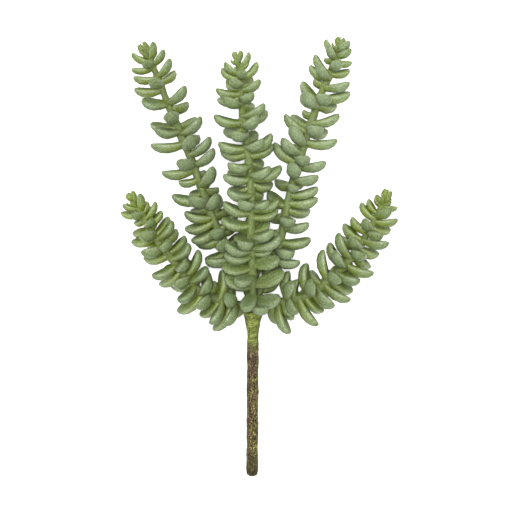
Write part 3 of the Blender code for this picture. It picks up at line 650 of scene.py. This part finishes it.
def stem_piece(name, finish):
    """The bare stem, turned round its axis: the solid's flare and slow swellings, with a finer bark relief.

    Relief is a sum of sine waves round and along the stem whose phases drift, so no ridge runs straight.
    The collar ends in a rounded lip, and its mouth sinks in a shallow cup.
    """
    length = np.linalg.norm(STEM_MOUTH - STEM_END)
    down = np.arange(COLLAR_EDGE, length - STEM_END_ROUND, STEM_ROW)
    flare = np.clip(1.0 - down / COLLAR_HEIGHT, 0.0, 1.0) ** 1.15
    slow = 0.13 * MM * np.sin(2 * math.pi * down / (23 * MM)) + 0.09 * MM * np.sin(down / (1.6 * MM) + 1.0)
    radius = STEM_RADIUS + (COLLAR_RADIUS - STEM_RADIUS) * flare + slow * (1.0 - flare)
    cup = [(0.45, CUP_DEPTH), (0.75, CUP_DEPTH * 0.8), (0.86, CUP_DEPTH * 0.35), (0.93, 0.0)]
    lip = [(COLLAR_RADIUS * share, sunk) for share, sunk in cup]
    lip += [(COLLAR_RADIUS * 0.98, 0.15 * MM), (COLLAR_RADIUS * 1.0, 0.45 * MM)]
    turn = np.radians([20, 40, 60, 78])
    bottom = list(zip(radius[-1] * np.cos(turn), length - STEM_END_ROUND * (1.0 - np.sin(turn))))
    outline = np.array(lip + list(zip(radius, down)) + bottom)
    reach, low = outline[:, 0][:, None], outline[:, 1][:, None]
    around = np.linspace(0.0, 2 * np.pi, STEM_COLUMNS, endpoint=False)[None]
    along = low / MM
    fine = np.sin(9 * around + 0.31 * along + 2.0 * np.sin(0.23 * along))
    fine = fine + 0.8 * np.sin(14 * around - 0.22 * along + 1.5 * np.sin(0.37 * along + 1.0))
    fine = fine + 0.7 * np.sin(5 * around + 1.9 * np.sin(0.6 * along) + 0.9 * along)
    dents = np.sin(3 * around + 0.5 * along + 1.3) * np.sin(1.1 * along + 2 * around)
    skinned = ease(0.3 * MM, 3.0 * MM, low) * ease(0.0, 4.0 * MM, length - low)
    reach = reach + skinned * (BARK_RIDGES * fine + BARK_DENTS * dents)
    side, front = across(stem_axis())
    ring = np.cos(around)[..., None] * side + np.sin(around)[..., None] * front
    rings = STEM_MOUTH - low[..., None] * stem_axis() + reach[..., None] * ring
    flat = [reach * np.cos(around), reach * np.sin(around)]
    grain = np.stack(flat + [STEM_DRAWN * low + 0.0 * around], axis=-1)
    bands = np.stack([0.5 * flat[0], 0.5 * flat[1], low + BAND_SWAY * np.sin(2 * around)], axis=-1)
    skins = Skins()
    skins.add(rings, STEM_MOUTH - stem_axis() * CUP_DEPTH, STEM_END, grain=grain, bands=bands,
              down=low / length + 0.0 * around, right=np.cos(around) + 0.0 * low)
    return skins.piece(name, finish)


class Wire:
    """One output in a material. + - * and ** on it add Math nodes, and a number may come first but for **."""

    def __init__(self, finish, socket):
        self.finish, self.socket = finish, socket

    def math(self, operation, a, b):
        return self.finish.node("ShaderNodeMath", {0: a, 1: b}, operation=operation)

    def __add__(self, other):
        return self.math("ADD", self, other)

    def __sub__(self, other):
        return self.math("SUBTRACT", self, other)

    def __rsub__(self, other):
        return self.math("SUBTRACT", other, self)

    def __mul__(self, other):
        return self.math("MULTIPLY", self, other)

    def __pow__(self, other):
        return self.math("POWER", self, other)

    __radd__ = __add__
    __rmul__ = __mul__

    def eased(self, low, high, to_low=0.0, to_high=1.0):
        """A smooth step from to_low at low to to_high at high, level beyond them."""
        sockets = {"Value": self, "From Min": low, "From Max": high, "To Min": to_low, "To Max": to_high}
        return self.finish.node("ShaderNodeMapRange", sockets, interpolation_type="SMOOTHSTEP")


class Finish:
    """A material under construction: node() adds any node, and done() feeds the shader.

    depth scales every plain colour that its mixes are given.
    """

    def __init__(self, name, depth=1.0):
        self.depth = depth
        self.material = bpy.data.materials.new(name)
        self.material.use_nodes = True
        self.tree = self.material.node_tree
        self.shader = self.tree.nodes["Principled BSDF"]

    def node(self, kind, sockets=None, out=0, **settings):
        """A node of a kind, with its settings made first and then its sockets' values or links."""
        made = self.tree.nodes.new(kind)
        for name, value in settings.items():
            setattr(made, name, value)
        self.feed(made, sockets or {})
        return Wire(self, made.outputs[out])

    def feed(self, node, sockets):
        for key, value in sockets.items():
            if isinstance(value, Wire):
                self.tree.links.new(value.socket, node.inputs[key])
            else:
                node.inputs[key].default_value = value

    def place(self):
        return self.node("ShaderNodeTexCoord", out="Object")

    def mark(self, name, out="Fac"):
        """A value that the mesh carries on its points."""
        return self.node("ShaderNodeAttribute", out=out, attribute_name=name)

    def noise(self, place, size, detail=2.0, roughness=0.5, swirl=0.0):
        """Soft noise whose blobs are about size metres across, from 0 to 1 round a half."""
        sockets = {"Vector": place, "Scale": 0.5 / size, "Detail": detail, "Roughness": roughness,
                   "Distortion": swirl}
        return self.node("ShaderNodeTexNoise", sockets)

    def mix(self, share, a, b):
        """Colour a where share is 0, and b where it is 1."""
        a, b = (c if isinstance(c, Wire) else (*shade(self.depth, c), 1.0) for c in (a, b))
        return self.node("ShaderNodeMix", {0: share, 6: a, 7: b}, out=2, data_type="RGBA")

    def bump(self, height, deep):
        return self.node("ShaderNodeBump", {"Height": height, "Strength": 1.0, "Distance": deep})

    def done(self, **sockets):
        """Feeds the shader, and gives back the material. Base_Color stands for the socket Base Color."""
        self.feed(self.shader, {name.replace("_", " "): value for name, value in sockets.items()})
        return self.material


def shade(light, colour):
    """A colour lifted or lowered as a whole."""
    return tuple(light * part for part in colour)


def leaf_finish(name, bloom, fresh, gloss, light):
    """Waxy leaf skin: yellow-green by the twig, green along the leaf, under a grey-green bloom.

    bloom is how much of the grey-green shows, fresh how yellow the young parts are, gloss goes from 0 to 1,
    and light lifts or lowers the greens, the yellows and the bloom.

    The bloom lies in soft patches, is thicker on the outer half, and is rubbed thin in lengthwise streaks.
    Leaves that face up are painted paler, with more bloom, and leaves that face away yellower: painted light
    and shade.
    The channel and the keel are painted darker green as shade, and the rims are the palest, a pale edge with
    a painted highlight. Painted shade also darkens the roots, the tips and the first stretch by the mouth.
    """
    f = Finish(name, PIGMENT)
    place = f.place()
    grain = f.mark("grain", out="Vector")
    along, edge, upper = f.mark("along"), f.mark("edge"), f.mark("upper")
    tone, young, old = f.mark("tone"), f.mark("young"), f.mark("old")
    patches = f.noise(place, 4.0 * MM, detail=3.0, roughness=0.6)
    streaks = f.noise(grain, 0.75 * MM, detail=3.0, roughness=0.65, swirl=0.4)
    fine = f.noise(place, 0.40 * MM, detail=2.0, roughness=0.6)
    green = f.mix(tone, *(shade(light, colour) for colour in LEAF_GREENS))
    yellow = f.mix(fresh, *(shade(light, colour) for colour in LEAF_YELLOWS))
    # Painted light and shade: leaves that face up get more bloom and look paler, those that face away
    # yellower
    facing = f.mark("facing").eased(0.0, 0.5)
    yellowing_and_shade = ((1.0 - along.eased(0.15, 0.80)) * 0.95 + young * 0.30) * (0.45 + 0.7 * fresh)
    yellowing_and_shade = yellowing_and_shade + 0.18 * (1.0 - facing)
    skin = f.mix(yellowing_and_shade + (streaks - 0.5) * 1.2, green, yellow)
    bloom_and_painted_light = bloom * along.eased(0.12, 0.60, 0.05, 1.0) * (0.50 + 0.60 * patches) * (0.8 + 0.4 * tone)
    bloom_and_painted_light = bloom_and_painted_light * (0.55 + 0.75 * facing) * (1.0 - 0.25 * upper)
    bloom_and_painted_light = bloom_and_painted_light + (streaks - 0.5) * (1.3 + 0.5 * facing) + (fine - 0.5) * 1.3
    skin = f.mix(bloom_and_painted_light - young * 0.30, skin, shade(light, BLOOM))
    # Painted shade in the channel and along the keel
    skin = f.mix(edge.eased(0.0, 0.60, 0.32, 0.0), skin, CHANNEL_KEEL_SHADE)
    # The rims where the faces meet: a pale edge with a painted highlight
    skin = f.mix(edge**14 * 0.60, skin, RIM_AND_HIGHLIGHT)
    skin = f.mix(fine.eased(0.32, 0.52, 0.70, 0.0), skin, LEAF_PORES)
    skin = f.mix(fine.eased(0.52, 0.66, 0.0, 0.60) * bloom, skin, WAX_SPECKS)
    # Painted shade over the first stretch by the mouth, strongest at each leaf's root
    skin = f.mix(old * along.eased(0.0, 0.9, 0.70, 0.12), skin, LEAF_MOUTH_SHADE)
    # Painted shade towards each leaf's tip
    skin = f.mix(along.eased(0.84, 1.0, 0.0, 0.26), skin, LEAF_TIP_SHADE)
    # Painted shade: darker towards the outer end of leaves that face up, at the tips of those that face away,
    # and by every leaf's root at the twig
    painted_shade = facing * along.eased(0.2, 0.8, 0.08, 0.24) + (1.0 - facing) * along.eased(0.6, 1.0) * 0.10
    painted_shade = painted_shade + (1.0 - along.eased(0.15, 0.60)) * 0.12
    skin = f.mix(painted_shade, skin, LEAF_PAINTED_SHADE)
    height = streaks * 0.6 + fine * 0.8 + f.noise(place, 1.6 * MM, detail=1.0) * 0.5
    rough = 0.60 - 0.24 * gloss + (streaks - 0.5) * 0.6 + bloom_and_painted_light * 0.08
    return f.done(Base_Color=skin, Roughness=rough, Normal=f.bump(height, 0.40 * MM), Specular_IOR_Level=0.14,
                  Coat_Weight=0.32 * gloss, Coat_Roughness=0.2, Subsurface_Weight=0.30,
                  Subsurface_Radius=(0.8, 1.0, 0.25), Subsurface_Scale=2.5 * MM)


def twig_finish(name, bloom, light):
    """Green twig skin, yellowest where it is young and at the knots, with pale bloom and dark streaks."""
    f = Finish(name, PIGMENT)
    place = f.place()
    streaks = f.noise(f.mark("grain", out="Vector"), 0.8 * MM, detail=3.0, roughness=0.65)
    patches = f.noise(place, 3.0 * MM, detail=2.0)
    fine = f.noise(place, 0.65 * MM, detail=2.0, roughness=0.6)
    skin = f.mix(f.mark("young"), *(shade(light, colour) for colour in TWIG_GREENS))
    skin = f.mix(f.mark("knot") * 0.45, skin, KNOT_GREEN)
    skin = f.mix(bloom * patches.eased(0.30, 0.60) * 0.55, skin, TWIG_BLOOM)
    skin = f.mix(streaks.eased(0.32, 0.56, 0.60, 0.0), skin, TWIG_STREAKS)
    skin = f.mix(fine.eased(0.32, 0.50, 0.40, 0.0), skin, TWIG_STREAKS)
    # Painted shade over the twig's first stretch by the mouth
    skin = f.mix(f.mark("old") * 0.55, skin, TWIG_MOUTH_SHADE)
    return f.done(Base_Color=skin, Roughness=0.55 + (streaks - 0.5) * 0.3, Specular_IOR_Level=0.15,
                  Normal=f.bump(streaks, 0.20 * MM))


def stem_finish(name):
    """The stem: a ridged yellow-green collar that fades into brown-purple bark flecked with yellow-green."""
    f = Finish(name, PIGMENT)
    place = f.place()
    grain = f.mark("grain", out="Vector")
    bands = f.mark("bands", out="Vector")
    down, right = f.mark("down"), f.mark("right")
    flecks = f.noise(grain, 0.42 * MM, detail=2.5, roughness=0.6, swirl=0.5)
    lighter = f.noise(grain, 0.80 * MM, detail=3.0, roughness=0.65)
    patches = f.noise(grain, 2.6 * MM, detail=2.0)
    fine = f.noise(place, 0.42 * MM, detail=2.0)
    ridges = f.noise(bands, 0.80 * MM, detail=2.0, roughness=0.55, swirl=0.8)
    olive = (patches + 0.14 * right + 0.30 * (down - 0.55)).eased(0.40, 0.62)
    bark = f.mix(olive, *BARK_BROWNS)
    bark = f.mix(lighter.eased(0.48, 0.60, 0.0, 0.9) * (1.0 - 0.5 * olive), bark, BARK_LIGHT)
    bark = f.mix(flecks.eased(0.53, 0.60) * (0.15 + 0.80 * olive), bark, BARK_FLECKS)
    bark = f.mix(fine.eased(0.42, 0.54, 1.0, 0.0), bark, BARK_PITS)
    bark = f.mix(down.eased(0.78, 1.0, 0.0, 0.6), bark, BARK_CUT_END)
    # Painted shade in the collar's grooves, plain green on its ridges
    collar = f.mix(ridges.eased(0.36, 0.62), *COLLAR_GROOVE_SHADE_TO_GREEN)
    # Painted highlights along the crests of the collar's ridges
    collar = f.mix((ridges * 0.6 + fine * 0.4).eased(0.54, 0.62), collar, COLLAR_CREST_HIGHLIGHTS)
    collar = f.mix(fine.eased(0.32, 0.48, 0.5, 0.0), collar, COLLAR_PITS)
    # Dark brown down the collar's right side in the picture, widening towards the bark
    right_line = (right + (lighter - 0.5) * 0.5 + down * 1.5).eased(0.94, 1.08)
    collar = f.mix(right_line, collar, COLLAR_RIGHT_LINE)
    fade = (down + (lighter - 0.5) * 0.14 + (patches - 0.5) * 0.10).eased(0.13, 0.26)
    skin = f.mix(fade, collar, bark)
    height = (lighter * 0.6 + flecks * 0.6) * fade + ridges * (1.1 - fade) + fine * 0.4
    return f.done(Base_Color=skin, Roughness=0.60 - 0.12 * (1.0 - fade) + (fine - 0.5) * 0.2,
                  Specular_IOR_Level=0.10, Normal=f.bump(height, 0.45 * MM))


def floor_piece():
    """A plain pale surface, with the faintest unevenness in its tone."""
    f = Finish("pale_floor")
    tone = f.mix(f.noise(f.place(), FLOOR_PATCHES), *FLOOR_TONES)
    half = FLOOR_HALF
    mesh = bpy.data.meshes.new("floor")
    corners = [(-half, -half, 0.0), (half, -half, 0.0), (half, half, 0.0), (-half, half, 0.0)]
    mesh.from_pydata(corners, [], [(0, 1, 2, 3)])
    mesh.materials.append(f.done(Base_Color=tone, Roughness=0.9, Specular_IOR_Level=0.1))
    floor = bpy.data.objects.new("floor", mesh)
    bpy.context.scene.collection.objects.link(floor)


def softbox(name, place, size, power):
    """A square area light that faces LIGHTS_AIM."""
    lamp = bpy.data.lights.new(name, "AREA")
    lamp.shape = "SQUARE"
    lamp.size = size
    lamp.energy = power
    light = bpy.data.objects.new(name, lamp)
    light.location = place
    light.rotation_euler = (Vector(LIGHTS_AIM) - Vector(place)).to_track_quat("-Z", "Y").to_euler()
    bpy.context.scene.collection.objects.link(light)


def studio():
    """Even light from all round, a front light by the camera, and a larger soft one on the upper left."""
    world = bpy.data.worlds.new("studio")
    world.use_nodes = True
    background = world.node_tree.nodes["Background"]
    background.inputs["Color"].default_value = (1.0, 1.0, 1.0, 1.0)
    background.inputs["Strength"].default_value = ROUND_LIGHT
    bpy.context.scene.world = world
    for name, (place, size, power) in SOFT_LIGHTS.items():
        softbox(name, place, size, power)


def camera():
    """Straight above, so that the frame shows FRAME_PIXELS pixels of PIXEL each at SPRAY_HEIGHT."""
    lens = bpy.data.cameras.new("camera")
    lens.sensor_width = CAMERA_SENSOR
    lens.lens = CAMERA_SENSOR * CAMERA_HEIGHT / (FRAME_PIXELS * PIXEL)
    lens.clip_start = 0.05
    eye = bpy.data.objects.new("camera", lens)
    middle = FRAME_PIXELS / 2
    eye.location = ((middle - ORIGIN_PIXEL[0]) * PIXEL, (ORIGIN_PIXEL[1] - middle) * PIXEL,
                    CAMERA_HEIGHT + SPRAY_HEIGHT)
    bpy.context.scene.collection.objects.link(eye)
    bpy.context.scene.camera = eye


def place_piece(piece, node):
    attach(piece, "root")
    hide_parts(node)


def main():
    place_piece(stem_piece("bare_stem", stem_finish("stem_bark")), "stem")
    routes = branch_routes()
    for node, (bloom, fresh, gloss, light) in BRANCH_FINISH.items():
        short = node.replace("_branch", "")
        skin = leaf_finish(short + "_leaf_skin", bloom, fresh, gloss, light)
        place_piece(leaves_piece(short + "_leaves", node, routes[node], skin), node)
        skin = twig_finish(short + "_twig_skin", bloom, light)
        place_piece(twig_piece(short + "_twig", routes[node], BRANCHES[node][4], skin), node)
    floor_piece()
    studio()
    camera()
    bpy.context.scene.view_settings.view_transform = "Standard"


main()
